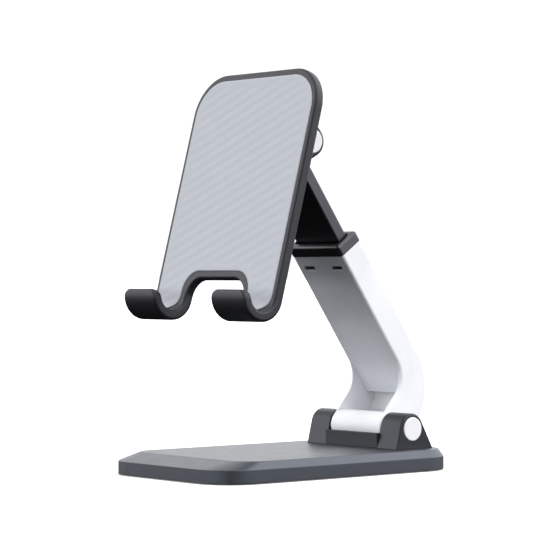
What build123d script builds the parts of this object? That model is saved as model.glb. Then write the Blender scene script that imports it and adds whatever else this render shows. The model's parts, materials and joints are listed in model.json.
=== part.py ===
from build123d import *
import os
from math import acos, atan2, cos, degrees, radians, sin, sqrt, tan

# Folding phone stand. Millimetres, +Z up, +X along the hinge pins, front faces -Y.
# The origin is on the desk, under the middle of the base.

# ---- base ----
base_width = 79.0
base_length = 125.0
base_corner = 16.0
base_wall_top = 5.7          # height where the bevels begin
base_top = 8.7
front_bevel = 12.5           # how far each bevel runs in, seen from above
side_bevel = 2.2
top_front_corner = 10.0
foot_height = 0.5            # gap under the shell, filled by the foot pad
foot_inset = 4.0
base_rim = 2.2               # wall round the cavity
cavity_height = 4.2
bottom_cover_thickness = 1.2
ballast_thickness = 2.7
ballast_inset = 3.0
cover_screw_side = 10.5      # from the shell's sides
cover_screw_end = 12.5       # from the shell's ends
boss_diameter = 6.0
ballast_gap = 1.0            # round bosses and screw heads

# ---- both hinges: the same bolt, washers, springs, bushings and caps ----
barrel_width = 31.6          # the turning barrel between two ears, as wide as the arm
ear_gap = 0.3                # barrel end to ear
axle_diameter = 4.0
axle_clearance = 0.05        # radial
head_diameter = 7.0
head_height = 2.6
nut_flats = 7.0
nut_height = 3.2
pocket_diameter = 8.6        # holds the bolt's head or the nut
cap_diameter = 9.8
cap_height = 1.9
cap_proud = 0.45
cap_round = 0.4
washer_diameter = 10.0
washer_thickness = 0.9
spring_thickness = 0.5
spring_rise = 0.35
spring_overhang = 0.3        # past the nut's flats
bushing_diameter = 6.4
bushing_length = 9.0
ear_edge = 0.9               # round on the ears' outer edges
socket_ratio = 0.34          # hex socket's radius by the shank's diameter
socket_depth_ratio = 0.6     # hex socket's depth by the head's height
screw_end_gap = 0.5          # screw tip to the end of its hole
fit = 0.05                   # gap between fixed pieces that slip together
over = 1.0                   # how far a cut runs past the face it starts from
near = 0.05                  # margin used to pick edges by their place

# ---- lower hinge block ----
axis_from_back = 16.5        # lower axis to the base's back end
lower_axis_z = 16.9
lower_ear_radius = 6.4
lower_ear_width = 12.4
block_front_reach = 8.6      # foot in front of the axis
block_back_reach = 12.0      # foot behind the axis
saddle_top = 14.9            # wall in front of the barrel
saddle_gap = 0.4
block_screw_inset = 3.7      # from an ear's inner face
block_screw_reach = 4.8      # each side of the middle of the block's foot
block_screw_depth = 4.6      # thread in the block
block_screw_head = 5.4
block_screw_head_height = 2.0

# ---- arm, drawn upright: Y behind the lower axis, Z along the long section ----
arm_lean = 35.16             # long section leans this far forward of upright
arm_thickness = 12.0
arm_offset = 24.7            # lower axis to the long section's middle plane
arm_wall = 1.6
knuckle_radius = 6.5
outer_bend = 24.0
inner_bend = 12.0
short_section_rise = 14.84   # degrees above level, in the upright drawing
sleeve_top = 74.1
cover_thickness = 1.6
cover_bottom = 3.6
ledge_depth = 0.7
ledge_width = 1.2
ledge_gap = 1.0              # ledge to the collar's skirt
window_place = 0.6           # windows' middle, by half the room's width
window_width = 6.5
window_height = 2.0
window_drop = 6.0            # sleeve mouth to the middle of the windows
edge_round = 1.2

# ---- collar and sliding link ----
collar_height = 4.7
collar_proud = 0.2
collar_round = 1.2
mouth_gap = 1.0              # widened mouth round the link
mouth_depth = 2.0
clip_depth = 1.1             # how far the clips stand in the windows
skirt_length = 8.0
skirt_gap = 0.1
link_side = 0.9              # between the link and the room's side walls
link_share = 0.45            # link's thickness by the arm's
link_gap = 0.25
axis_reach = 126.1           # lower axis to upper axis along the arm, pulled out
link_head_radius = 6.0
shoe_height = 12.0
shoe_gap = 0.2
shoe_stop_gap = 0.3          # shoe to skirt when pulled out
link_edge = 0.8
shoe_pin_diameter = 2.4
shoe_pin_height = 4.2        # above the link's inner end
leaf_width = 16.0
leaf_thickness = 0.3
leaf_reach = 3.6             # half the leaf's height
leaf_recess = 0.75           # depth of its seat in the shoe
leaf_gap = 1.0               # round the leaf in its seat
leaf_clearance = 0.06        # crown to the sleeve's wall

# ---- phone plate and bracket, drawn upright about the upper axis ----
plate_lean = 15.08           # plate leans this far back of upright
plate_width = 78.0
plate_thickness = 4.2
plate_above_axis = 26.8
plate_below_axis = 69.1      # upper axis to the middle of the hooks' bend
plate_corner = 17.0
plate_back_offset = 8.7      # upper axis to the plate's back face
plate_edge = 1.2
notch_width = 36.0
notch_top_below_axis = 60.5
notch_corner = 7.5
hook_inner_radius = 5.8
hook_arc = 183.0
lip_corner = 3.4
pad_side_border = 2.35
pad_top_border = 2.9
pad_notch_border = 3.2
pad_notch_corner = 9.0
pad_depth = 0.8
pad_proud = 0.35
pad_leg_tip = 7.0
pad_below_bend = 4.9
bracket_thickness = 2.0
bracket_side = 7.0           # flange past the ears
bracket_up = 14.0
bracket_down = 17.0
bracket_corner = 4.0
ear_foot_inset = 1.0         # ears' feet from the bracket's top and bottom edges
upper_ear_radius = 6.3
upper_ear_width = 9.9
bracket_screw_side = 3.0     # from an ear's outer face
bracket_screw_inset = 5.0    # from the bracket's top and bottom edges
bracket_screw_depth = 2.8    # thread in the plate
countersink_diameter = 5.4
countersink_depth = 1.3
screw_diameter = 3.0
small_screw_diameter = 2.5

# ---- values worked out from those above ----
lower_axis_y = base_length / 2 - axis_from_back
cover_screw_x = base_width / 2 - cover_screw_side
cover_screw_y = base_length / 2 - cover_screw_end
ear_inner = barrel_width / 2 + ear_gap
lower_block_width = 2 * (ear_inner + lower_ear_width)
upper_block_width = 2 * (ear_inner + upper_ear_width)
block_front_foot = lower_axis_y - block_front_reach
block_back_foot = lower_axis_y + block_back_reach
block_screw_x = ear_inner + block_screw_inset
bracket_width = upper_block_width + 2 * bracket_side
bracket_screw_x = upper_block_width / 2 + bracket_screw_side
outer_bend_y = arm_offset + arm_thickness / 2 - outer_bend
outer_bend_z = sqrt((outer_bend - knuckle_radius) ** 2 - outer_bend_y ** 2)
arm_front = arm_offset - arm_thickness / 2
arm_back = arm_offset + arm_thickness / 2
cavity_front = arm_front + cover_thickness
cavity_back = arm_back - arm_wall
cavity_half = barrel_width / 2 - arm_wall
link_width = 2 * (cavity_half - link_side)
link_thickness = link_share * arm_thickness
window_x = window_place * cavity_half
window_z = sleeve_top - window_drop
skirt_bottom = sleeve_top - skirt_length
shoe_top = skirt_bottom - shoe_stop_gap
shoe_bottom = shoe_top - shoe_height
shoe_middle = shoe_top - shoe_height / 2
shoe_front = cavity_front + ledge_depth + shoe_gap
shoe_back = cavity_back - shoe_gap
link_bottom = shoe_bottom + arm_wall
leaf_seat = shoe_back - leaf_recess
plate_back = -plate_back_offset
plate_front = plate_back - plate_thickness
hook_outer_radius = hook_inner_radius + plate_thickness
hook_y = plate_front - hook_inner_radius
ballast_bottom = foot_height + cavity_height - ballast_thickness - fit
ceiling = foot_height + cavity_height
big = 400.0

lower_axis = Pos(0, lower_axis_y, lower_axis_z)
arm_place = lower_axis * Rot(arm_lean, 0, 0)
upper_axis = Pos(
    0,
    lower_axis_y + arm_offset * cos(radians(arm_lean)) - axis_reach * sin(radians(arm_lean)),
    lower_axis_z + arm_offset * sin(radians(arm_lean)) + axis_reach * cos(radians(arm_lean)),
)
plate_place = upper_axis * Rot(-plate_lean, 0, 0)


# ---- helpers ----
def across(profile, x_from, x_to):
    """A solid whose side profile is drawn in Y (right) and Z (up)."""
    return extrude(Plane.YZ.offset(x_from) * profile, x_to - x_from)


def block(x_range, y_range, z_range):
    """A box between three pairs of coordinates."""
    size = [high - low for low, high in (x_range, y_range, z_range)]
    middle = [(high + low) / 2 for low, high in (x_range, y_range, z_range)]
    return Pos(*middle) * Box(*size)


def disc(diameter, x_from, x_to):
    """A round bar along X."""
    return across(Circle(diameter / 2), x_from, x_to)


def ring(diameter, bore, x_from, x_to):
    """A washer or sleeve along X."""
    return disc(diameter, x_from, x_to) - disc(bore, x_from - over, x_to + over)


def group(pieces):
    """Separate solids that share one node."""
    return Compound(children=[solid for piece in pieces for solid in piece.solids()])


def mirror_x(piece):
    """The same piece on the other side."""
    return mirror(piece, Plane.YZ)


def web(radius, foot_a, foot_b):
    """A round ear at the origin that runs down in tangents to two foot points."""
    def touch(point, side):
        distance = sqrt(point[0] ** 2 + point[1] ** 2)
        angle = atan2(point[1], point[0]) + side * acos(radius / distance)
        return (radius * cos(angle), radius * sin(angle))

    outline = Polygon(foot_a, foot_b, touch(foot_b, 1), (0, 0), touch(foot_a, -1), align=None)
    return outline + Circle(radius)


def screw(diameter, length, head, height, tapered):
    """A screw that points down, with the top of its head at the origin."""
    if tapered:
        top = Pos(0, 0, -height / 2) * Cone(diameter / 2, head / 2, height)
    else:
        top = Pos(0, 0, -height / 2) * Cylinder(head / 2, height)
    shank = Pos(0, 0, -length / 2) * Cylinder(diameter / 2, length)
    socket = extrude(RegularPolygon(diameter * socket_ratio, 6), -height * socket_depth_ratio)
    return top + shank - socket


def countersunk_cut(diameter):
    """Clear hole for a countersunk screw that points down from the origin."""
    cone = Pos(0, 0, -countersink_depth / 2)
    cone *= Cone(diameter / 2 + fit, countersink_diameter / 2 + fit, countersink_depth)
    return cone + Cylinder(diameter / 2 + fit, big)


# ---- hinge hardware, drawn about the axis ----
def pocket_floor(width):
    """Where the hardware pocket ends inside an ear."""
    springs = 2 * (spring_thickness + spring_rise)
    return width / 2 - (cap_height - cap_proud) - nut_height - springs - 4 * fit


def ear_cuts(width):
    """Axle bore, hardware pockets, cap seats and washer recesses for a pair of ears."""
    floor = pocket_floor(width)
    recess = ear_inner + washer_thickness - ear_gap + 3 * fit
    cuts = disc(axle_diameter + 2 * axle_clearance, -width, width)
    for side in (-1, 1):
        near, far = sorted((side * floor, side * width))
        cuts += disc(pocket_diameter, near, far)
        near, far = sorted((side * (width / 2 - cap_height + cap_proud), side * width))
        cuts += disc(cap_diameter + 2 * fit, near, far)
        near, far = sorted((0, side * recess))
        cuts += disc(washer_diameter + 2 * fit, near, far)
    return cuts


def axle_bolt(width):
    """Bolt along X, its head in the left pocket and its end flush with the nut."""
    floor = pocket_floor(width)
    tip = width / 2 - (cap_height - cap_proud) - 2 * fit
    bolt = disc(axle_diameter, -floor, tip)
    bolt += disc(head_diameter, -floor - head_height, -floor)
    hexagon = RegularPolygon(axle_diameter * socket_ratio, 6)
    socket = across(hexagon, -floor - head_height, -floor - head_height * (1 - socket_depth_ratio))
    return bolt - socket


def axle_nut(width):
    """Hex nut at the right end of the bolt."""
    end = width / 2 - (cap_height - cap_proud) - 2 * fit
    hexagon = RegularPolygon(nut_flats / 2, 6, major_radius=False) - Circle(axle_diameter / 2 + fit / 2)
    return across(hexagon, end - nut_height, end)


def disc_springs(width):
    """Two coned spring washers, back to back, under the nut."""
    start = pocket_floor(width) + fit / 2
    inner = axle_diameter / 2 + 2 * fit
    outer = nut_flats / 2 + spring_overhang
    springs = []
    for index in range(2):
        base = start + index * (spring_thickness + spring_rise + fit / 2)
        low, high = (base, base + spring_rise) if index == 0 else (base + spring_rise, base)
        section = Polygon(
            (low, inner),
            (high, outer),
            (high + spring_thickness, outer),
            (low + spring_thickness, inner),
            align=None,
        )
        springs.append(revolve(Plane.XY * section, Axis.X))
    return group(springs)


def friction_washers():
    """One washer in each ear's recess, against the barrel."""
    start = barrel_width / 2 + 2 * fit
    washer = ring(washer_diameter, axle_diameter + 4 * fit, start, start + washer_thickness)
    return group([washer, mirror_x(washer)])


def bushings():
    """Plain sleeves in both ends of the barrel."""
    end = barrel_width / 2
    sleeve = ring(bushing_diameter, axle_diameter + 2 * axle_clearance, end - bushing_length, end)
    return group([sleeve, mirror_x(sleeve)])


def barrel_cuts():
    """Bore through the barrel and a seat for each bushing."""
    end = barrel_width / 2
    cuts = disc(axle_diameter + 4 * axle_clearance, -end - over, end + over)
    for side in (-1, 1):
        near, far = sorted((side * (end - bushing_length), side * (end + over)))
        cuts += disc(bushing_diameter, near, far)
    return cuts


def end_caps(width):
    """Round caps with a softened rim that close both ends of the hinge."""
    outer = width / 2 + cap_proud
    cap = disc(cap_diameter, outer - cap_height + fit, outer)
    cap = fillet(cap.edges().group_by(Axis.X)[-1], cap_round)
    return group([cap, mirror_x(cap)])


# ---- base ----
def outer_outline(inset=0.0):
    """The base seen from above."""
    return RectangleRounded(base_width - 2 * inset, base_length - 2 * inset, base_corner - inset)


def top_outline():
    """The flat top seen from above, set in further at the front."""
    length = base_length - front_bevel - side_bevel
    sheet = Pos(0, (front_bevel - side_bevel) / 2) * Rectangle(base_width - 2 * side_bevel, length)
    sheet = fillet(sheet.vertices().group_by(Axis.Y)[0], top_front_corner)
    return fillet(sheet.vertices().sort_by(Axis.Y)[-2:], base_corner - side_bevel)


def at_cover_screws(piece):
    """Copies of a piece at the four bottom cover screws."""
    return [spot * piece for spot in GridLocations(2 * cover_screw_x, 2 * cover_screw_y, 2, 2).locations]


def at_block_screws(piece):
    """Copies of a piece at the four hinge block screws."""
    middle = (block_front_foot + block_back_foot) / 2
    spots = GridLocations(2 * block_screw_x, 2 * block_screw_reach, 2, 2).locations
    return [Pos(0, middle, 0) * spot * piece for spot in spots]


def make_base_shell():
    """Slab with bevelled edges, hollow underneath, with bosses for the bottom cover."""
    wall = extrude(Pos(0, 0, foot_height) * outer_outline(), base_wall_top - foot_height)
    outlines = [Pos(0, 0, base_wall_top) * outer_outline(), Pos(0, 0, base_top) * top_outline()]
    bevel = loft(outlines, ruled=True)
    shell = wall + bevel
    shell -= extrude(Pos(0, 0, foot_height) * outer_outline(base_rim), cavity_height)
    boss_bottom = foot_height + bottom_cover_thickness + fit
    boss = Pos(0, 0, (boss_bottom + ceiling) / 2) * Cylinder(boss_diameter / 2, ceiling - boss_bottom)
    hole_depth = cavity_height - bottom_cover_thickness
    hole = Pos(0, 0, boss_bottom) * Cylinder(small_screw_diameter / 2, 2 * hole_depth)
    for piece in at_cover_screws(boss - hole):
        shell += piece
    for hole in at_block_screws(Cylinder(screw_diameter / 2 + 2 * fit, 4 * base_top)):
        shell -= hole
    return shell


def make_ballast_plate():
    """Steel plate inside the shell, with clear holes for the bosses and the screw heads."""
    inset = base_rim + ballast_inset
    plate = extrude(Pos(0, 0, ballast_bottom) * outer_outline(inset), ballast_thickness)
    clear = Cylinder(boss_diameter / 2 + ballast_gap, 4 * base_top)
    for hole in at_cover_screws(clear) + at_block_screws(clear):
        plate -= hole
    return plate


def make_bottom_cover():
    """Thin plate inside the rim, held by four countersunk screws."""
    plate = extrude(Pos(0, 0, foot_height) * outer_outline(base_rim + fit), bottom_cover_thickness)
    hole = Pos(0, 0, foot_height) * Rot(180, 0, 0) * countersunk_cut(small_screw_diameter)
    for cut in at_cover_screws(hole):
        plate -= cut
    return plate


def make_bottom_cover_screws():
    """Four countersunk screws, heads flush under the cover."""
    length = cavity_height - screw_end_gap
    head = countersink_diameter - 4 * fit
    piece = screw(small_screw_diameter - 2 * fit, length, head, countersink_depth - fit, True)
    return group(at_cover_screws(Pos(0, 0, foot_height) * Rot(180, 0, 0) * piece))


def make_foot_pad():
    """Soft sheet the stand rests on."""
    return extrude(outer_outline(foot_inset), foot_height)


# ---- lower hinge block ----
def make_hinge_block():
    """Two ears on one foot, with a saddle wall in front of the barrel."""
    foot = base_top - lower_axis_z
    front = block_front_foot - lower_axis_y
    back = block_back_foot - lower_axis_y
    half = lower_block_width / 2
    ear = across(web(lower_ear_radius, (front, foot), (back, foot)), ear_inner, half)
    outer_edges = ear.edges().group_by(Axis.X)[-1]
    ear = fillet(outer_edges.filter_by(lambda edge: edge.center().Z > foot + near), ear_edge)
    saddle = block((-ear_inner, ear_inner), (front, 0), (foot, saddle_top - lower_axis_z))
    saddle -= disc(2 * (knuckle_radius + saddle_gap), -ear_inner, ear_inner)
    body = ear + mirror_x(ear) + saddle
    body -= ear_cuts(lower_block_width)
    body = lower_axis * body
    for hole in at_block_screws(Pos(0, 0, base_top) * Cylinder(screw_diameter / 2, 2 * block_screw_depth)):
        body -= hole
    return body


def make_hinge_block_screws():
    """Four screws up through the shell, heads inside the cavity."""
    length = block_screw_head_height + base_top - ceiling + block_screw_depth - screw_end_gap
    piece = screw(screw_diameter - 2 * fit, length, block_screw_head, block_screw_head_height, False)
    return group(at_block_screws(Pos(0, 0, ceiling - block_screw_head_height) * Rot(180, 0, 0) * piece))


# ---- arm ----
def arm_outline(top):
    """Side view of the cranked arm: barrel, short section, outer bend and long section."""
    rise = radians(short_section_rise)
    touch = (-knuckle_radius * sin(rise), knuckle_radius * cos(rise))
    corner_z = touch[1] + (arm_front - touch[0]) * tan(rise)
    touch_angle = 90 + short_section_rise
    bend_angle = 180 + degrees(atan2(outer_bend_z, outer_bend_y))
    edges = [
        Line((arm_front, top), (arm_front, corner_z)),
        Line((arm_front, corner_z), touch),
        CenterArc((0, 0), knuckle_radius, touch_angle, bend_angle - touch_angle),
        CenterArc((outer_bend_y, outer_bend_z), outer_bend, bend_angle, 360 - bend_angle),
        Line((arm_back, outer_bend_z), (arm_back, top)),
        Line((arm_back, top), (arm_front, top)),
    ]
    face = make_face(edges)
    corner = face.vertices().sort_by_distance((arm_front, corner_z))[0]
    return fillet(corner, inner_bend)


def arm_cavity(top):
    """Side view of the room inside the arm, open to the front."""
    inner = Pos(outer_bend_y, outer_bend_z) * Circle(outer_bend - arm_wall)
    upper = Pos(cavity_back / 2, (top + outer_bend_z) / 2) * Rectangle(cavity_back, top - outer_bend_z)
    return inner + upper


def make_arm_shell():
    """White channel, with the barrel as its cross bar and ledges that the front cover sits on."""
    half = barrel_width / 2
    shell = across(arm_outline(sleeve_top), -half, half)
    back_edges = shell.edges().filter_by(lambda edge: edge.center().Y > cavity_back)
    side_edges = back_edges.filter_by(lambda edge: abs(edge.center().X) > half - near)
    shell = fillet(side_edges.filter_by(lambda edge: edge.center().Z < sleeve_top - near), edge_round)
    shell -= across(arm_cavity(sleeve_top + over), -cavity_half, cavity_half)
    shell += disc(2 * knuckle_radius, -cavity_half, cavity_half)
    ledge = block(
        (cavity_half - ledge_width, cavity_half),
        (cavity_front, cavity_front + ledge_depth),
        (outer_bend_z, skirt_bottom - ledge_gap),
    )
    shell += ledge + mirror_x(ledge)
    shell -= barrel_cuts()
    return arm_place * shell


def make_arm_front_cover():
    """Flush front panel of the sleeve, with two windows for the collar's clips."""
    width = cavity_half - fit
    panel = block((-width, width), (arm_front, cavity_front), (cover_bottom, sleeve_top))
    window = block(
        (window_x - window_width / 2, window_x + window_width / 2),
        (arm_front - over, cavity_front + over),
        (window_z - window_height / 2, window_z + window_height / 2),
    )
    panel -= window + mirror_x(window)
    return arm_place * panel


def link_section(gap):
    """The sliding link's section seen along the arm, grown all round by a gap."""
    section = RectangleRounded(link_width + 2 * gap, link_thickness + 2 * gap, link_edge + gap)
    return Pos(0, arm_offset) * section


def make_sleeve_collar():
    """Guide cap on the sleeve's mouth; its skirt stops the shoe and clips into the windows."""
    cap_section = Rectangle(barrel_width, arm_thickness + 2 * collar_proud)
    cap = extrude(Pos(0, arm_offset, sleeve_top) * cap_section, collar_height)
    cap = fillet(cap.edges().group_by(Axis.Z)[-1] + cap.edges().filter_by(Axis.Z), collar_round)
    skirt = block(
        (-cavity_half + skirt_gap, cavity_half - skirt_gap),
        (cavity_front + skirt_gap, cavity_back - skirt_gap),
        (skirt_bottom, sleeve_top),
    )
    clip = block(
        (window_x - window_width / 2 + 2 * skirt_gap, window_x + window_width / 2 - 2 * skirt_gap),
        (cavity_front - clip_depth, cavity_front + 2 * skirt_gap),
        (window_z - window_height / 2 + skirt_gap, window_z + window_height / 2 - skirt_gap),
    )
    collar = cap + skirt + clip + mirror_x(clip)
    collar -= extrude(Pos(0, 0, skirt_bottom - over) * link_section(link_gap), big)
    collar -= extrude(Pos(0, 0, sleeve_top + collar_height - mouth_depth) * link_section(mouth_gap), big)
    return arm_place * collar


# ---- sliding link ----
def at_shoe_pins(piece):
    """Copies of a piece at the shoe's two cross pins, on the link's middle plane."""
    height = link_bottom + shoe_pin_height
    return [Pos(x, arm_offset, height) * piece for x in (-link_width / 4, link_width / 4)]


def make_sliding_link():
    """Flat bar with the upper barrel at its end."""
    half = barrel_width / 2
    bar = extrude(Pos(0, 0, link_bottom) * link_section(0), axis_reach - link_bottom)
    head = Pos(0, arm_offset, axis_reach) * disc(2 * link_head_radius, -half, half)
    link = bar + head - Pos(0, arm_offset, axis_reach) * barrel_cuts()
    for hole in at_shoe_pins(Rot(90, 0, 0) * Cylinder(shoe_pin_diameter / 2, 2 * link_thickness)):
        link -= hole
    return arm_place * link


def make_guide_shoe():
    """Slippery block round the link's inner end that runs in the sleeve."""
    half = cavity_half - shoe_gap
    shoe = block((-half, half), (shoe_front, shoe_back), (shoe_bottom, shoe_top))
    shoe -= extrude(Pos(0, 0, link_bottom) * link_section(0), big)
    shoe -= block(
        (-leaf_width / 2 - leaf_gap, leaf_width / 2 + leaf_gap),
        (leaf_seat, shoe_back + over),
        (shoe_middle - leaf_reach - leaf_gap, shoe_middle + leaf_reach + leaf_gap),
    )
    for hole in at_shoe_pins(Rot(90, 0, 0) * Cylinder(shoe_pin_diameter / 2, 2 * arm_thickness)):
        shoe -= hole
    return arm_place * shoe


def make_shoe_pins():
    """Two steel pins across the shoe and the link, kept in by the leaf spring."""
    front = shoe_front - arm_offset
    back = leaf_seat - fit - arm_offset
    pin = Pos(0, (front + back) / 2, 0) * Rot(90, 0, 0) * Cylinder(shoe_pin_diameter / 2, back - front)
    return arm_place * group(at_shoe_pins(pin))


def make_friction_spring():
    """Bowed steel leaf in the shoe's back, that drags on the sleeve's back wall."""
    low = shoe_middle - leaf_reach
    high = shoe_middle + leaf_reach
    crown = cavity_back - leaf_clearance
    back = leaf_seat + leaf_thickness
    inner = ThreePointArc((leaf_seat, low), (crown - leaf_thickness, shoe_middle), (leaf_seat, high))
    outer = ThreePointArc((back, high), (crown, shoe_middle), (back, low))
    ends = [Line(inner @ 1, outer @ 0), Line(outer @ 1, inner @ 0)]
    strip = make_face([inner, ends[0], outer, ends[1]])
    return arm_place * across(strip, -leaf_width / 2, leaf_width / 2)


# ---- phone plate, drawn upright about the upper axis ----
def front_sheet(outline, y_from, y_to):
    """A solid whose outline is drawn in X and Z as seen from the front."""
    plane = Plane(origin=(0, y_to, 0), x_dir=(1, 0, 0), z_dir=(0, -1, 0))
    return extrude(plane * outline, y_to - y_from)


def notched_sheet(half, top, bottom, notch_half, notch_top, corners):
    """A sheet with round top corners and a notch between two legs; corners are the two radii."""
    sheet = Pos(0, (top + bottom) / 2) * Rectangle(2 * half, top - bottom)
    sheet = fillet(sheet.vertices().group_by(Axis.Y)[-1], corners[0])
    sheet -= Pos(0, (notch_top + bottom) / 2) * Rectangle(2 * notch_half, notch_top - bottom)
    return fillet(sheet.vertices().filter_by(lambda vertex: abs(vertex.Y - notch_top) < near), corners[1])


def plate_outline():
    """The plate seen from the front, down to the middle of the hooks' bend."""
    corners = (plate_corner, notch_corner)
    notch_top = -notch_top_below_axis
    return notched_sheet(
        plate_width / 2, plate_above_axis, -plate_below_axis, notch_width / 2, notch_top, corners
    )


def pad_outline():
    """The pad seen from the front, with round tips to its legs."""
    sheet = notched_sheet(
        plate_width / 2 - pad_side_border,
        plate_above_axis - pad_top_border,
        -plate_below_axis - pad_below_bend,
        notch_width / 2 + pad_notch_border,
        -notch_top_below_axis + pad_notch_border,
        (plate_corner - pad_side_border, pad_notch_corner),
    )
    return fillet(sheet.vertices().group_by(Axis.Y)[0], pad_leg_tip)


def hook_profile(inner_radius, outer_radius, arc):
    """Side view of a hook's bend: a ring cut off at the lip."""
    ring_face = Circle(outer_radius) - Circle(inner_radius)
    lip = radians(-arc)
    reach = 3 * outer_radius
    cut_point = (reach * cos(lip), reach * sin(lip))
    upper = Polygon((0, 0), cut_point, (-reach, reach), (reach, reach), (reach, 0), align=None)
    return Pos(hook_y, -plate_below_axis) * (ring_face - upper)


def make_face_pad():
    """Soft pad in a shallow pocket, with a leg down into each hook."""
    low = plate_front - pad_proud
    high = plate_front + pad_depth
    layer = Pos((low + high) / 2, (plate_above_axis - plate_below_axis) / 2) * Rectangle(
        high - low, plate_above_axis + plate_below_axis
    )
    layer += hook_profile(hook_inner_radius - pad_proud, hook_inner_radius + pad_depth, 90)
    pad = across(layer, -plate_width, plate_width) & front_sheet(pad_outline(), hook_y - big, plate_back)
    return plate_place * pad


def make_hook():
    """Right-hand hook, its lip with rounded corners."""
    profile = hook_profile(hook_inner_radius, hook_outer_radius, hook_arc)
    hook = across(profile, notch_width / 2, plate_width / 2)
    lip_ends = hook.edges().filter_by(
        lambda edge: abs(edge.length - plate_thickness) < near and edge.center().Y < hook_y
    )
    return fillet(lip_ends, lip_corner)


def on_rim(edge):
    """True for the edges round the plate and hooks, but not for the seams inside a face."""
    direction = edge.tangent_at(0.5)
    across_seam = abs(direction.Y) > 1 - near
    hook_seam = abs(direction.X) > 1 - near and abs(edge.center().Z + plate_below_axis) < near
    return not across_seam and not hook_seam


def make_phone_plate(pad):
    """Plate and its two hooks in one moulding, with a pocket for the pad."""
    hook = make_hook()
    plate = front_sheet(plate_outline(), plate_front, plate_back) + hook + mirror_x(hook)
    plate = fillet(plate.edges().filter_by(on_rim), plate_edge)
    for hole in at_bracket_screws(Cylinder(screw_diameter / 2, 2 * bracket_screw_depth)):
        plate -= hole
    return plate_place * plate - pad


# ---- tilt bracket ----
def at_bracket_screws(piece):
    """Copies of a piece that points down, turned to point forward at the four bracket screws."""
    middle = (bracket_up - bracket_down) / 2
    reach = (bracket_up + bracket_down) / 2 - bracket_screw_inset
    turned = Pos(0, plate_back, middle) * Rot(-90, 0, 0)
    spots = GridLocations(2 * bracket_screw_x, 2 * reach, 2, 2).locations
    return [turned * spot * piece for spot in spots]


def make_tilt_bracket():
    """Flange on the plate's back with two round ears for the upper axle."""
    flange_face = RectangleRounded(bracket_width, bracket_up + bracket_down, bracket_corner)
    flange_face = Pos(0, (bracket_up - bracket_down) / 2) * flange_face
    flange = front_sheet(flange_face, plate_back, plate_back + bracket_thickness)
    foot = plate_back + bracket_thickness / 2
    top_foot = (foot, bracket_up - ear_foot_inset)
    bottom_foot = (foot, ear_foot_inset - bracket_down)
    outline = web(upper_ear_radius, top_foot, bottom_foot)
    half = upper_block_width / 2
    ear = across(outline, ear_inner, half)
    outer_edges = ear.edges().group_by(Axis.X)[-1]
    ear = fillet(outer_edges.filter_by(lambda edge: edge.center().Y > foot + near), ear_edge)
    bracket = flange + ear + mirror_x(ear)
    bracket -= ear_cuts(upper_block_width)
    for hole in at_bracket_screws(Pos(0, 0, bracket_thickness) * countersunk_cut(screw_diameter)):
        bracket -= hole
    return plate_place * bracket


def make_bracket_screws():
    """Four countersunk screws from the bracket into the plate."""
    length = bracket_thickness + bracket_screw_depth - screw_end_gap
    head = countersink_diameter - 2 * fit
    piece = screw(screw_diameter - 2 * fit, length, head, countersink_depth - fit, True)
    return plate_place * group(at_bracket_screws(Pos(0, 0, bracket_thickness) * piece))


# ---- the whole stand ----
face_pad = make_face_pad()
nodes = {
    "base_shell": make_base_shell(),
    "ballast_plate": make_ballast_plate(),
    "base_bottom_cover": make_bottom_cover(),
    "bottom_cover_screws": make_bottom_cover_screws(),
    "foot_pad": make_foot_pad(),
    "hinge_block": make_hinge_block(),
    "hinge_block_screws": make_hinge_block_screws(),
    "lower_axle_bolt": lower_axis * axle_bolt(lower_block_width),
    "lower_axle_nut": lower_axis * axle_nut(lower_block_width),
    "lower_disc_springs": lower_axis * disc_springs(lower_block_width),
    "lower_friction_washers": lower_axis * friction_washers(),
    "lower_end_caps": lower_axis * end_caps(lower_block_width),
    "arm_shell": make_arm_shell(),
    "arm_front_cover": make_arm_front_cover(),
    "sleeve_collar": make_sleeve_collar(),
    "lower_bushings": lower_axis * bushings(),
    "sliding_link": make_sliding_link(),
    "guide_shoe": make_guide_shoe(),
    "shoe_pins": make_shoe_pins(),
    "friction_spring": make_friction_spring(),
    "upper_bushings": upper_axis * bushings(),
    "phone_plate": make_phone_plate(face_pad),
    "face_pad": face_pad,
    "tilt_bracket": make_tilt_bracket(),
    "bracket_screws": make_bracket_screws(),
    "upper_axle_bolt": upper_axis * axle_bolt(upper_block_width),
    "upper_axle_nut": upper_axis * axle_nut(upper_block_width),
    "upper_disc_springs": upper_axis * disc_springs(upper_block_width),
    "upper_friction_washers": upper_axis * friction_washers(),
    "upper_end_caps": upper_axis * end_caps(upper_block_width),
}

os.makedirs("parts", exist_ok=True)
for name, shape in nodes.items():
    export_step(shape, f"parts/{name}.step")
    print(name, len(shape.solids()), round(shape.volume, 1))
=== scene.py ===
import json
import math

import bmesh
import bpy
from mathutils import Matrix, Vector
from mathutils.geometry import delaunay_2d_cdt


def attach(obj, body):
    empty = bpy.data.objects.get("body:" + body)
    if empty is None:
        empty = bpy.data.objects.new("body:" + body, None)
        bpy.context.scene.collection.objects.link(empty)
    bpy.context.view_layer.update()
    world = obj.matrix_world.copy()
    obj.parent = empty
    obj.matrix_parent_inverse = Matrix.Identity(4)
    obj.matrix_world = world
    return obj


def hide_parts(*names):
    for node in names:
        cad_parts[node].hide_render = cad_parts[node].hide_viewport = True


MM = 0.001

# ---- finish of the moulded plastics, in metres ----
GRAIN_SIZE = 0.35 * MM
GRAIN_DEPTH = 0.012 * MM
EDGE_RADIUS = 0.35 * MM
EDGE_WEAR = 0.25
FLOW_SIZE = 18 * MM
FLOW_STRETCH = (1.0, 1.0, 0.6)
SPECK_SIZE = 1.1 * MM
RUB_SIZE = 3 * MM
GLOSS_SIZE = 7 * MM
GLOSS_SPREAD = 0.02

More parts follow.
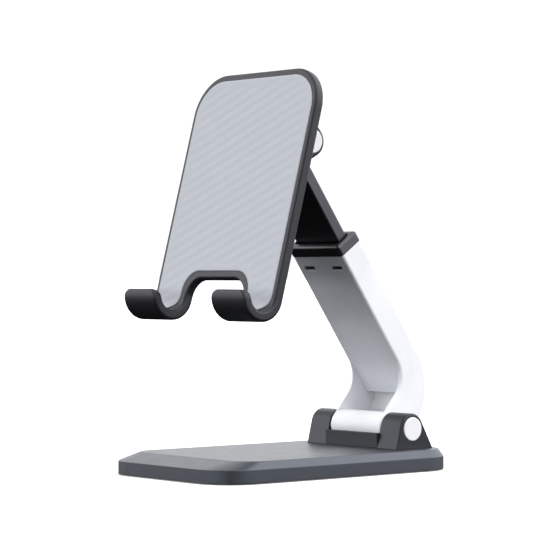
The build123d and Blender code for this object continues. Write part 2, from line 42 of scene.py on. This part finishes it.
# ---- finish of the metals and the silicone, in metres ----
LINE_SIZE = 0.25 * MM
LINE_DEPTH = 0.006 * MM
METAL_EDGE = 0.12 * MM
SCUFF_SIZE = 4 * MM
CLOUD_SIZE = 12 * MM
DUST_SIZE = 0.6 * MM
SHEEN = 0.15

# ---- studio ----
# Sky: azimuth and elevation of each patch, the angles where it is full and gone, and its strength.
SKY_LEVEL = 0.5
BELOW_LEVEL = 0.015
HORIZON = (-0.06, 0.02)
PATCHES = [
    (130, 25, 30, 75, 2.2),
    (-45, 2, 22, 58, 2.2),
    (0, 90, 20, 60, 0.8),
    (230, 6, 15, 50, 1.35),
]
SKY_COLOUR = (0.985, 0.99, 1.0, 1)
BACKDROP_STRENGTH = 1.1
FILL_AZIMUTH = 15
FILL_DISTANCE = 1.2
FILL_HEIGHT = 0.07
FILL_TARGET = (0, 0, 0.06)
FILL_SIZE = (1.0, 0.12)
FILL_POWER = 2.2
FLOOR_HALF = 30.0
FLOOR_GLOW = 0.14
CAMERA_AZIMUTH = 50.01
CAMERA_TARGET = Vector((-0.0021, -0.0025, 0.0806))
CAMERA_DISTANCE = 0.95
CAMERA_LENS = 151.63
CAMERA_SENSOR = 36.0

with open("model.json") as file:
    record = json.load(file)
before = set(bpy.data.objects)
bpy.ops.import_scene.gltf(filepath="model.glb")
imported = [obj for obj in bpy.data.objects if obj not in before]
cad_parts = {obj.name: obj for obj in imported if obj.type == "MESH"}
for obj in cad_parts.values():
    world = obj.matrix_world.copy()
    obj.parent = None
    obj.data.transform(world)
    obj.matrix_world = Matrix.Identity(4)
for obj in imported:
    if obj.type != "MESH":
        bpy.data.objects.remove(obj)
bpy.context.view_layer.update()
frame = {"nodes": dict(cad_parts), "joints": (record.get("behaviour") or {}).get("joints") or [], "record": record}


# ---- node helpers ----
def new_material(name):
    """An empty node material with its output and the principled shader."""
    material = bpy.data.materials.new(name)
    material.use_nodes = True
    tree = material.node_tree
    tree.nodes.clear()
    output = tree.nodes.new("ShaderNodeOutputMaterial")
    shader = tree.nodes.new("ShaderNodeBsdfPrincipled")
    tree.links.new(shader.outputs["BSDF"], output.inputs["Surface"])
    return material, tree, shader


def feed(tree, socket, value):
    """Links an output to a socket, or sets the socket's own value."""
    if isinstance(value, bpy.types.NodeSocket):
        tree.links.new(value, socket)
    else:
        socket.default_value = value


def mapped(tree, scale=(1, 1, 1)):
    """Object coordinates in metres, scaled."""
    coordinates = tree.nodes.new("ShaderNodeTexCoord")
    mapping = tree.nodes.new("ShaderNodeMapping")
    mapping.inputs["Scale"].default_value = scale
    tree.links.new(coordinates.outputs["Object"], mapping.inputs["Vector"])
    return mapping.outputs["Vector"]


def noise(tree, size, detail=2.0, vector=None):
    """Noise whose features are about this size in metres."""
    node = tree.nodes.new("ShaderNodeTexNoise")
    tree.links.new(vector or mapped(tree), node.inputs["Vector"])
    node.inputs["Scale"].default_value = 1 / size
    node.inputs["Detail"].default_value = detail
    return node.outputs["Fac"]


def ranged(tree, value, from_low, from_high, to_low, to_high, smooth=False):
    """A value mapped from one range to another, and held inside it."""
    node = tree.nodes.new("ShaderNodeMapRange")
    node.interpolation_type = "SMOOTHSTEP" if smooth else "LINEAR"
    tree.links.new(value, node.inputs["Value"])
    node.inputs["From Min"].default_value = from_low
    node.inputs["From Max"].default_value = from_high
    node.inputs["To Min"].default_value = to_low
    node.inputs["To Max"].default_value = to_high
    return node.outputs["Result"]


def combined(tree, operation, a, b):
    """Two values put together by a math operation."""
    node = tree.nodes.new("ShaderNodeMath")
    node.operation = operation
    feed(tree, node.inputs[0], a)
    feed(tree, node.inputs[1], b)
    return node.outputs["Value"]


def mixed(tree, factor, colour_a, colour_b):
    """Two colours mixed by a factor."""
    node = tree.nodes.new("ShaderNodeMix")
    node.data_type = "RGBA"
    feed(tree, node.inputs["Factor"], factor)
    feed(tree, node.inputs["A"], colour_a)
    feed(tree, node.inputs["B"], colour_b)
    return node.outputs["Result"]


def bumped(tree, height, depth, normal=None):
    """A bump of that depth in metres on top of another normal."""
    node = tree.nodes.new("ShaderNodeBump")
    node.inputs["Strength"].default_value = 1.0
    node.inputs["Distance"].default_value = depth
    tree.links.new(height, node.inputs["Height"])
    if normal is not None:
        tree.links.new(normal, node.inputs["Normal"])
    return node.outputs["Normal"]


def rounded_edges(tree, radius):
    """The surface normal, softened across sharp edges."""
    node = tree.nodes.new("ShaderNodeBevel")
    node.samples = 6
    node.inputs["Radius"].default_value = radius
    return node.outputs["Normal"]


def edge_mask(tree, radius):
    """One along sharp edges and zero on flat faces."""
    bevel = rounded_edges(tree, radius)
    geometry = tree.nodes.new("ShaderNodeNewGeometry")
    dot = tree.nodes.new("ShaderNodeVectorMath")
    dot.operation = "DOT_PRODUCT"
    tree.links.new(bevel, dot.inputs[0])
    tree.links.new(geometry.outputs["Normal"], dot.inputs[1])
    return ranged(tree, dot.outputs["Value"], 1.0, 0.86, 0.0, 1.0, smooth=True)


def shade(colour, factor):
    """A colour made lighter or darker, with full alpha."""
    return tuple(min(1.0, part * factor) for part in colour[:3]) + (1.0,)


# ---- materials ----
def moulded(name, colour, roughness, depth=GRAIN_DEPTH, wear=EDGE_WEAR, tint=(1, 1, 1), ior=1.45):
    """Moulded plastic: fine spark-eroded grain, faint flow marks and rubbed edges."""
    material, tree, shader = new_material(name)
    flow = noise(tree, FLOW_SIZE, 3.0, mapped(tree, FLOW_STRETCH))
    speck = noise(tree, SPECK_SIZE, 4.0)
    tone = mixed(tree, ranged(tree, flow, 0.3, 0.7, 0, 1), shade(colour, 0.95), shade(colour, 1.05))
    tone = mixed(tree, ranged(tree, speck, 0.62, 0.78, 0, 0.25), tone, shade(colour, 1.25))
    patchy = ranged(tree, noise(tree, RUB_SIZE, 3.0), 0.4, 0.65, 0, wear)
    rubbed = combined(tree, "MULTIPLY", edge_mask(tree, EDGE_RADIUS), patchy)
    feed(tree, shader.inputs["Base Color"], mixed(tree, rubbed, tone, shade(colour, 1.6)))
    low, high = roughness - GLOSS_SPREAD, roughness + GLOSS_SPREAD
    gloss = ranged(tree, noise(tree, GLOSS_SIZE, 4.0), 0.3, 0.7, low, high)
    polish = combined(tree, "MULTIPLY", rubbed, 0.3)
    feed(tree, shader.inputs["Roughness"], combined(tree, "SUBTRACT", gloss, polish))
    soft = rounded_edges(tree, EDGE_RADIUS)
    feed(tree, shader.inputs["Normal"], bumped(tree, noise(tree, GRAIN_SIZE), depth, soft))
    shader.inputs["Specular Tint"].default_value = shade(tint, 1.0)
    shader.inputs["IOR"].default_value = ior
    return material


def metal(name, colour, roughness, stretch=(1, 1, 1)):
    """Rolled or turned steel with fine lines and small scuffs."""
    material, tree, shader = new_material(name)
    lines = noise(tree, LINE_SIZE, 3.0, mapped(tree, stretch))
    scuffs = noise(tree, SCUFF_SIZE, 5.0)
    feed(tree, shader.inputs["Base Color"], mixed(tree, scuffs, shade(colour, 0.85), shade(colour, 1.1)))
    polish = ranged(tree, lines, 0.3, 0.7, roughness - 0.08, roughness + 0.1)
    feed(tree, shader.inputs["Roughness"], polish)
    soft = rounded_edges(tree, METAL_EDGE)
    feed(tree, shader.inputs["Normal"], bumped(tree, lines, LINE_DEPTH, soft))
    shader.inputs["Metallic"].default_value = 1.0
    return material


def silicone(name, colour, roughness, grain, depth):
    """Soft matt silicone with a fine skin and a little dust."""
    material, tree, shader = new_material(name)
    cloud = noise(tree, CLOUD_SIZE, 3.0)
    dust = noise(tree, DUST_SIZE, 3.0)
    tone = mixed(tree, ranged(tree, cloud, 0.3, 0.7, 0, 1), shade(colour, 0.975), shade(colour, 1.02))
    tone = mixed(tree, ranged(tree, dust, 0.66, 0.8, 0, 0.2), tone, shade(colour, 1.12))
    feed(tree, shader.inputs["Base Color"], tone)
    polish = ranged(tree, cloud, 0.3, 0.7, roughness - 0.05, roughness + 0.05)
    feed(tree, shader.inputs["Roughness"], polish)
    feed(tree, shader.inputs["Normal"], bumped(tree, noise(tree, grain), depth))
    shader.inputs["Sheen Weight"].default_value = SHEEN
    shader.inputs["Sheen Roughness"].default_value = 0.5
    return material


def make_materials():
    """One material for each slot of the record."""
    slate = (0.76, 0.84, 1.0)
    indigo = (0.86, 0.88, 1.0)
    cool = (0.9, 0.9, 1.0)
    return {
        "base_plastic": moulded("base_plastic", (0.012, 0.0125, 0.0145), 0.42, tint=slate, ior=1.78),
        "hinge_plastic": moulded("hinge_plastic", (0.008, 0.0085, 0.0105), 0.38, tint=indigo),
        "collar_plastic": moulded("collar_plastic", (0.006, 0.006, 0.007), 0.38, tint=cool, ior=1.7),
        "link_plastic": moulded("link_plastic", (0.004, 0.004, 0.005), 0.4, tint=cool, ior=1.7),
        "plate_plastic": moulded("plate_plastic", (0.010, 0.0105, 0.012), 0.42, tint=cool),
        "bracket_plastic": moulded("bracket_plastic", (0.009, 0.0095, 0.011), 0.42, tint=cool),
        "nylon": moulded("nylon", (0.72, 0.70, 0.62), 0.5, depth=0.008 * MM),
        "cap_white": moulded("cap_white", (0.80, 0.80, 0.82), 0.35, depth=0.004 * MM, wear=0.05),
        "arm_white": moulded("arm_white", (0.84, 0.85, 0.88), 0.36, depth=0.006 * MM, wear=0.05),
        "cover_white": moulded("cover_white", (0.80, 0.82, 0.87), 0.4, depth=0.008 * MM, wear=0.05),
        "steel": metal("steel", (0.55, 0.56, 0.58), 0.42, (1, 0.02, 1)),
        "screw_steel": metal("screw_steel", (0.42, 0.43, 0.45), 0.38),
        "spring_steel": metal("spring_steel", (0.48, 0.49, 0.52), 0.3),
        "foot_rubber": silicone("foot_rubber", (0.012, 0.012, 0.013), 0.7, 0.5 * MM, 0.02 * MM),
        "pad_silicone": silicone("pad_silicone", (0.43, 0.448, 0.49), 0.62, 0.4 * MM, 0.008 * MM),
    }


def dress_nodes(materials):
    """Gives each CAD node the material of its slot."""
    slots = {}
    for entry in frame["record"]["subparts"]:
        slots[entry["node"]] = entry["material_slot"]
    for name, node in frame["nodes"].items():
        node.data.materials.clear()
        node.data.materials.append(materials[slots[name]])


# ---- ribbed pad ----
# Millimetres in the plate's own upright frame: x to the right, y behind the tilt axis, z up from it.
PLATE_LEAN = 15.08
PAD_HALF = 36.65
PAD_TOP = 23.9
PAD_BOTTOM = -74.0
PAD_NOTCH_HALF = 21.2
PAD_NOTCH_TOP = -57.3
PAD_TOP_RADIUS = 14.65
PAD_TIP_RADIUS = 7.0
PAD_NOTCH_RADIUS = 9.0
PAD_FRONT = -13.25
PAD_THICKNESS = 1.15
BEND_Y = -18.7
BEND_Z = -69.1
BEND_RADIUS = 5.45
# Loops of the rounded rim: how far in from the outline, and how far behind the front.
PAD_RIM = [(0.0, 0.31), (0.06, 0.17), (0.17, 0.07), (0.32, 0.015), (0.5, 0.0)]
CORNER_STEPS = 18
SHARP_ANGLE = 50
RIB_PITCH = 4.2
RIB_SLOPE = 24.0
RIB_DEPTH = 0.11
RIB_MARGIN = 2.4
RIB_FADE = 0.9
RIB_ROWS = 10
RIB_STEP = 2.2
RIM_GAP = 0.3


def pad_loop(inset):
    """The pad's outline moved in by that much, counterclockwise, always with as many points."""
    half, top, bottom = PAD_HALF - inset, PAD_TOP - inset, PAD_BOTTOM + inset
    notch_half, notch_top = PAD_NOTCH_HALF + inset, PAD_NOTCH_TOP + inset
    tip, corner = PAD_TIP_RADIUS - inset, PAD_TOP_RADIUS - inset
    hollow = PAD_NOTCH_RADIUS + inset
    arcs = [
        (half - tip, bottom + tip, tip, -90, 0),
        (half - corner, top - corner, corner, 0, 90),
        (-half + corner, top - corner, corner, 90, 180),
        (-half + tip, bottom + tip, tip, 180, 270),
        (-notch_half - tip, bottom + tip, tip, -90, 0),
        (-notch_half + hollow, notch_top - hollow, hollow, 180, 90),
        (notch_half - hollow, notch_top - hollow, hollow, 90, 0),
        (notch_half + tip, bottom + tip, tip, 180, 270),
    ]
    pieces_after_corner = [60, 44, 60, 2, 12, 28, 12, 2]
    points = []
    for index, (x, z, radius, start, end) in enumerate(arcs):
        for step in range(CORNER_STEPS + 1):
            angle = math.radians(start + (end - start) * step / CORNER_STEPS)
            points.append(Vector((x + radius * math.cos(angle), z + radius * math.sin(angle))))
        x, z, radius, start, _ = arcs[(index + 1) % len(arcs)]
        begin = points[-1]
        angle = math.radians(start)
        finish = Vector((x + radius * math.cos(angle), z + radius * math.sin(angle)))
        pieces = pieces_after_corner[index]
        for step in range(1, pieces):
            points.append(begin.lerp(finish, step / pieces))
    return points


def on_pad(x, z, depth):
    """A point of the pad that far behind its front, flat above the bend and round in it."""
    if z >= BEND_Z:
        return (x * MM, (PAD_FRONT + depth) * MM, z * MM)
    reach = math.sqrt((BEND_RADIUS + depth) ** 2 - (z - BEND_Z) ** 2)
    return (x * MM, (BEND_Y + reach) * MM, z * MM)


def outline_distance(point, loop):
    """Distance from a point to the outline, negative outside it."""
    inside = False
    nearest = 1e9
    for a, b in zip(loop, loop[1:] + loop[:1]):
        if (a.y > point.y) != (b.y > point.y):
            if point.x < a.x + (point.y - a.y) * (b.x - a.x) / (b.y - a.y):
                inside = not inside
        along = b - a
        share = max(0.0, min(1.0, (point - a).dot(along) / along.length_squared))
        nearest = min(nearest, (point - a - along * share).length)
    return nearest if inside else -nearest


def lattice(loop, margin):
    """Points in rows along the ribs, close together across them, that keep off the outline."""
    turn = math.radians(RIB_SLOPE)
    along = Vector((math.cos(turn), math.sin(turn)))
    across = Vector((-math.sin(turn), math.cos(turn)))
    spacing = RIB_PITCH / RIB_ROWS
    reach = PAD_HALF + PAD_TOP - PAD_BOTTOM
    rows = int(reach / spacing)
    columns = int(reach / RIB_STEP)
    points = []
    for row in range(-rows, rows + 1):
        for column in range(-columns, columns + 1):
            shift = (row % 2) * RIB_STEP / 2
            point = along * (column * RIB_STEP + shift) + across * (row * spacing)
            if abs(point.x) > PAD_HALF or point.y > PAD_TOP or point.y < PAD_BOTTOM:
                continue
            distance = outline_distance(point, loop)
            if distance > margin:
                points.append((point, distance))
    return points


def rib_depth(point, distance):
    """How far the surface lies back between two ribs, fading out towards the rim."""
    turn = math.radians(RIB_SLOPE)
    place = (point.y * math.cos(turn) - point.x * math.sin(turn)) / RIB_PITCH
    wave = 0.5 - 0.5 * math.cos(2 * math.pi * place)
    fade = max(0.0, min(1.0, (distance - RIB_MARGIN) / RIB_FADE))
    return RIB_DEPTH * wave * fade * fade * (3 - 2 * fade)


def triangles(points, ring):
    """Triangles that fill the ring, with its own points first."""
    found, _, faces, _, _, _ = delaunay_2d_cdt(points, ring, [], 1, 1e-6)
    if len(found) != len(points):
        raise RuntimeError("the pad's points changed in the triangulation")
    return faces


def pad_mesh():
    """The pad as one closed skin: back, sides, rounded rim and ribbed front."""
    mesh = bmesh.new()
    outer = pad_loop(0.0)
    count = len(outer)
    loops = []
    for inset, depth in [(0.0, PAD_THICKNESS)] + PAD_RIM:
        loops.append([mesh.verts.new(on_pad(x, z, depth)) for x, z in pad_loop(inset)])
    for below, above in zip(loops, loops[1:]):
        for index in range(count):
            after = (index + 1) % count
            mesh.faces.new((below[index], below[after], above[after], above[index]))
    rim_width = PAD_RIM[-1][0]
    inside = lattice(outer, rim_width + RIM_GAP)
    ring = [(index, (index + 1) % count) for index in range(count)]
    front = list(loops[-1])
    for point, distance in inside:
        front.append(mesh.verts.new(on_pad(point.x, point.y, rib_depth(point, distance))))
    for face in triangles(pad_loop(rim_width) + [point for point, _ in inside], ring):
        mesh.faces.new([front[index] for index in face])
    for face in triangles(outer, ring):
        mesh.faces.new([loops[0][index] for index in reversed(face)])
    bmesh.ops.recalc_face_normals(mesh, faces=mesh.faces)
    for face in mesh.faces:
        face.smooth = True
    for edge in mesh.edges:
        if edge.calc_face_angle() > math.radians(SHARP_ANGLE):
            edge.smooth = False
    data = bpy.data.meshes.new("ribbed_pad")
    mesh.to_mesh(data)
    mesh.free()
    return data


def make_pad(material):
    """Soft pad with a smooth rim and shallow slanted ribs, down into both hooks."""
    data = pad_mesh()
    data.materials.append(material)
    pad = bpy.data.objects.new("ribbed_pad", data)
    bpy.context.scene.collection.objects.link(pad)
    for joint in frame["joints"]:
        if joint["name"] == "plate_tilt":
            pad.location = joint["pos_m"]
    pad.rotation_euler = (math.radians(-PLATE_LEAN), 0, 0)
    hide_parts("face_pad")
    bpy.context.view_layer.update()
    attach(pad, "plate")


# ---- studio ----
def direction(azimuth, elevation):
    """Unit vector towards a light, azimuth from -Y to +X, in degrees."""
    a, e = math.radians(azimuth), math.radians(elevation)
    return Vector((math.sin(a) * math.cos(e), -math.cos(a) * math.cos(e), math.sin(e)))


def glow(tree, ray, towards, inner, outer, level):
    """A soft round patch of light in the sky, full inside one angle and gone past the other."""
    dot = tree.nodes.new("ShaderNodeVectorMath")
    dot.operation = "DOT_PRODUCT"
    tree.links.new(ray, dot.inputs[0])
    dot.inputs[1].default_value = towards
    low, high = math.cos(math.radians(outer)), math.cos(math.radians(inner))
    return ranged(tree, dot.outputs["Value"], low, high, 0.0, level, smooth=True)


def make_world():
    """A white studio: soft patches of light on a dim sky, and dark below the horizon."""
    world = bpy.data.worlds.new("studio")
    world.use_nodes = True
    tree = world.node_tree
    tree.nodes.clear()
    output = tree.nodes.new("ShaderNodeOutputWorld")
    coordinates = tree.nodes.new("ShaderNodeTexCoord")
    ray = coordinates.outputs["Generated"]
    split = tree.nodes.new("ShaderNodeSeparateXYZ")
    tree.links.new(ray, split.inputs["Vector"])
    level = SKY_LEVEL
    for azimuth, elevation, inner, outer, strength in PATCHES:
        patch = glow(tree, ray, direction(azimuth, elevation), inner, outer, strength)
        level = combined(tree, "ADD", level, patch)
    above = ranged(tree, split.outputs["Z"], *HORIZON, 0.0, 1.0, smooth=True)
    level = combined(tree, "ADD", combined(tree, "MULTIPLY", level, above), BELOW_LEVEL)
    lit = tree.nodes.new("ShaderNodeBackground")
    lit.inputs["Color"].default_value = SKY_COLOUR
    tree.links.new(level, lit.inputs["Strength"])
    seen = tree.nodes.new("ShaderNodeBackground")
    seen.inputs["Color"].default_value = (1, 1, 1, 1)
    seen.inputs["Strength"].default_value = BACKDROP_STRENGTH
    path = tree.nodes.new("ShaderNodeLightPath")
    pick = tree.nodes.new("ShaderNodeMixShader")
    tree.links.new(path.outputs["Is Camera Ray"], pick.inputs["Fac"])
    tree.links.new(lit.outputs["Background"], pick.inputs[1])
    tree.links.new(seen.outputs["Background"], pick.inputs[2])
    tree.links.new(pick.outputs["Shader"], output.inputs["Surface"])
    bpy.context.scene.world = world


def make_fill():
    """A wide, low soft box in front that only fills, without a reflection of its own."""
    data = bpy.data.lights.new("front_fill", "AREA")
    data.shape = "RECTANGLE"
    data.size, data.size_y = FILL_SIZE
    data.energy = FILL_POWER
    data.specular_factor = 0.0
    light = bpy.data.objects.new("front_fill", data)
    bpy.context.scene.collection.objects.link(light)
    place = direction(FILL_AZIMUTH, 0) * FILL_DISTANCE + Vector((0, 0, FILL_HEIGHT))
    light.location = place
    light.rotation_mode = "QUATERNION"
    light.rotation_quaternion = (Vector(FILL_TARGET) - place).to_track_quat("-Z", "Y")
    light.visible_camera = False


def make_floor():
    """A plain pale floor that takes a shadow but throws no light back on the object."""
    mesh = bpy.data.meshes.new("floor")
    half = FLOOR_HALF
    corners = [(-half, -half, 0), (half, -half, 0), (half, half, 0), (-half, half, 0)]
    mesh.from_pydata(corners, [], [(0, 1, 2, 3)])
    floor = bpy.data.objects.new("floor", mesh)
    bpy.context.scene.collection.objects.link(floor)
    material, tree, shader = new_material("floor_paper")
    paper = mixed(tree, noise(tree, 0.4), (0.90, 0.90, 0.90, 1), (0.92, 0.92, 0.92, 1))
    feed(tree, shader.inputs["Base Color"], paper)
    shader.inputs["Roughness"].default_value = 1.0
    shader.inputs["Specular IOR Level"].default_value = 0.0
    shader.inputs["Emission Color"].default_value = (1, 1, 1, 1)
    shader.inputs["Emission Strength"].default_value = FLOOR_GLOW
    mesh.materials.append(material)
    floor.visible_diffuse = False
    floor.visible_glossy = False


def make_camera():
    """Level camera in front of the object, to its right."""
    back = direction(CAMERA_AZIMUTH, 0)
    data = bpy.data.cameras.new("camera")
    data.sensor_width = CAMERA_SENSOR
    data.lens = CAMERA_LENS
    camera = bpy.data.objects.new("camera", data)
    bpy.context.scene.collection.objects.link(camera)
    camera.location = CAMERA_TARGET + back * CAMERA_DISTANCE
    camera.rotation_mode = "QUATERNION"
    camera.rotation_quaternion = (-back).to_track_quat("-Z", "Y")
    bpy.context.scene.camera = camera


materials = make_materials()
dress_nodes(materials)
make_pad(materials["pad_silicone"])
make_world()
make_fill()
make_floor()
make_camera()
bpy.context.scene.view_settings.view_transform = "Standard"
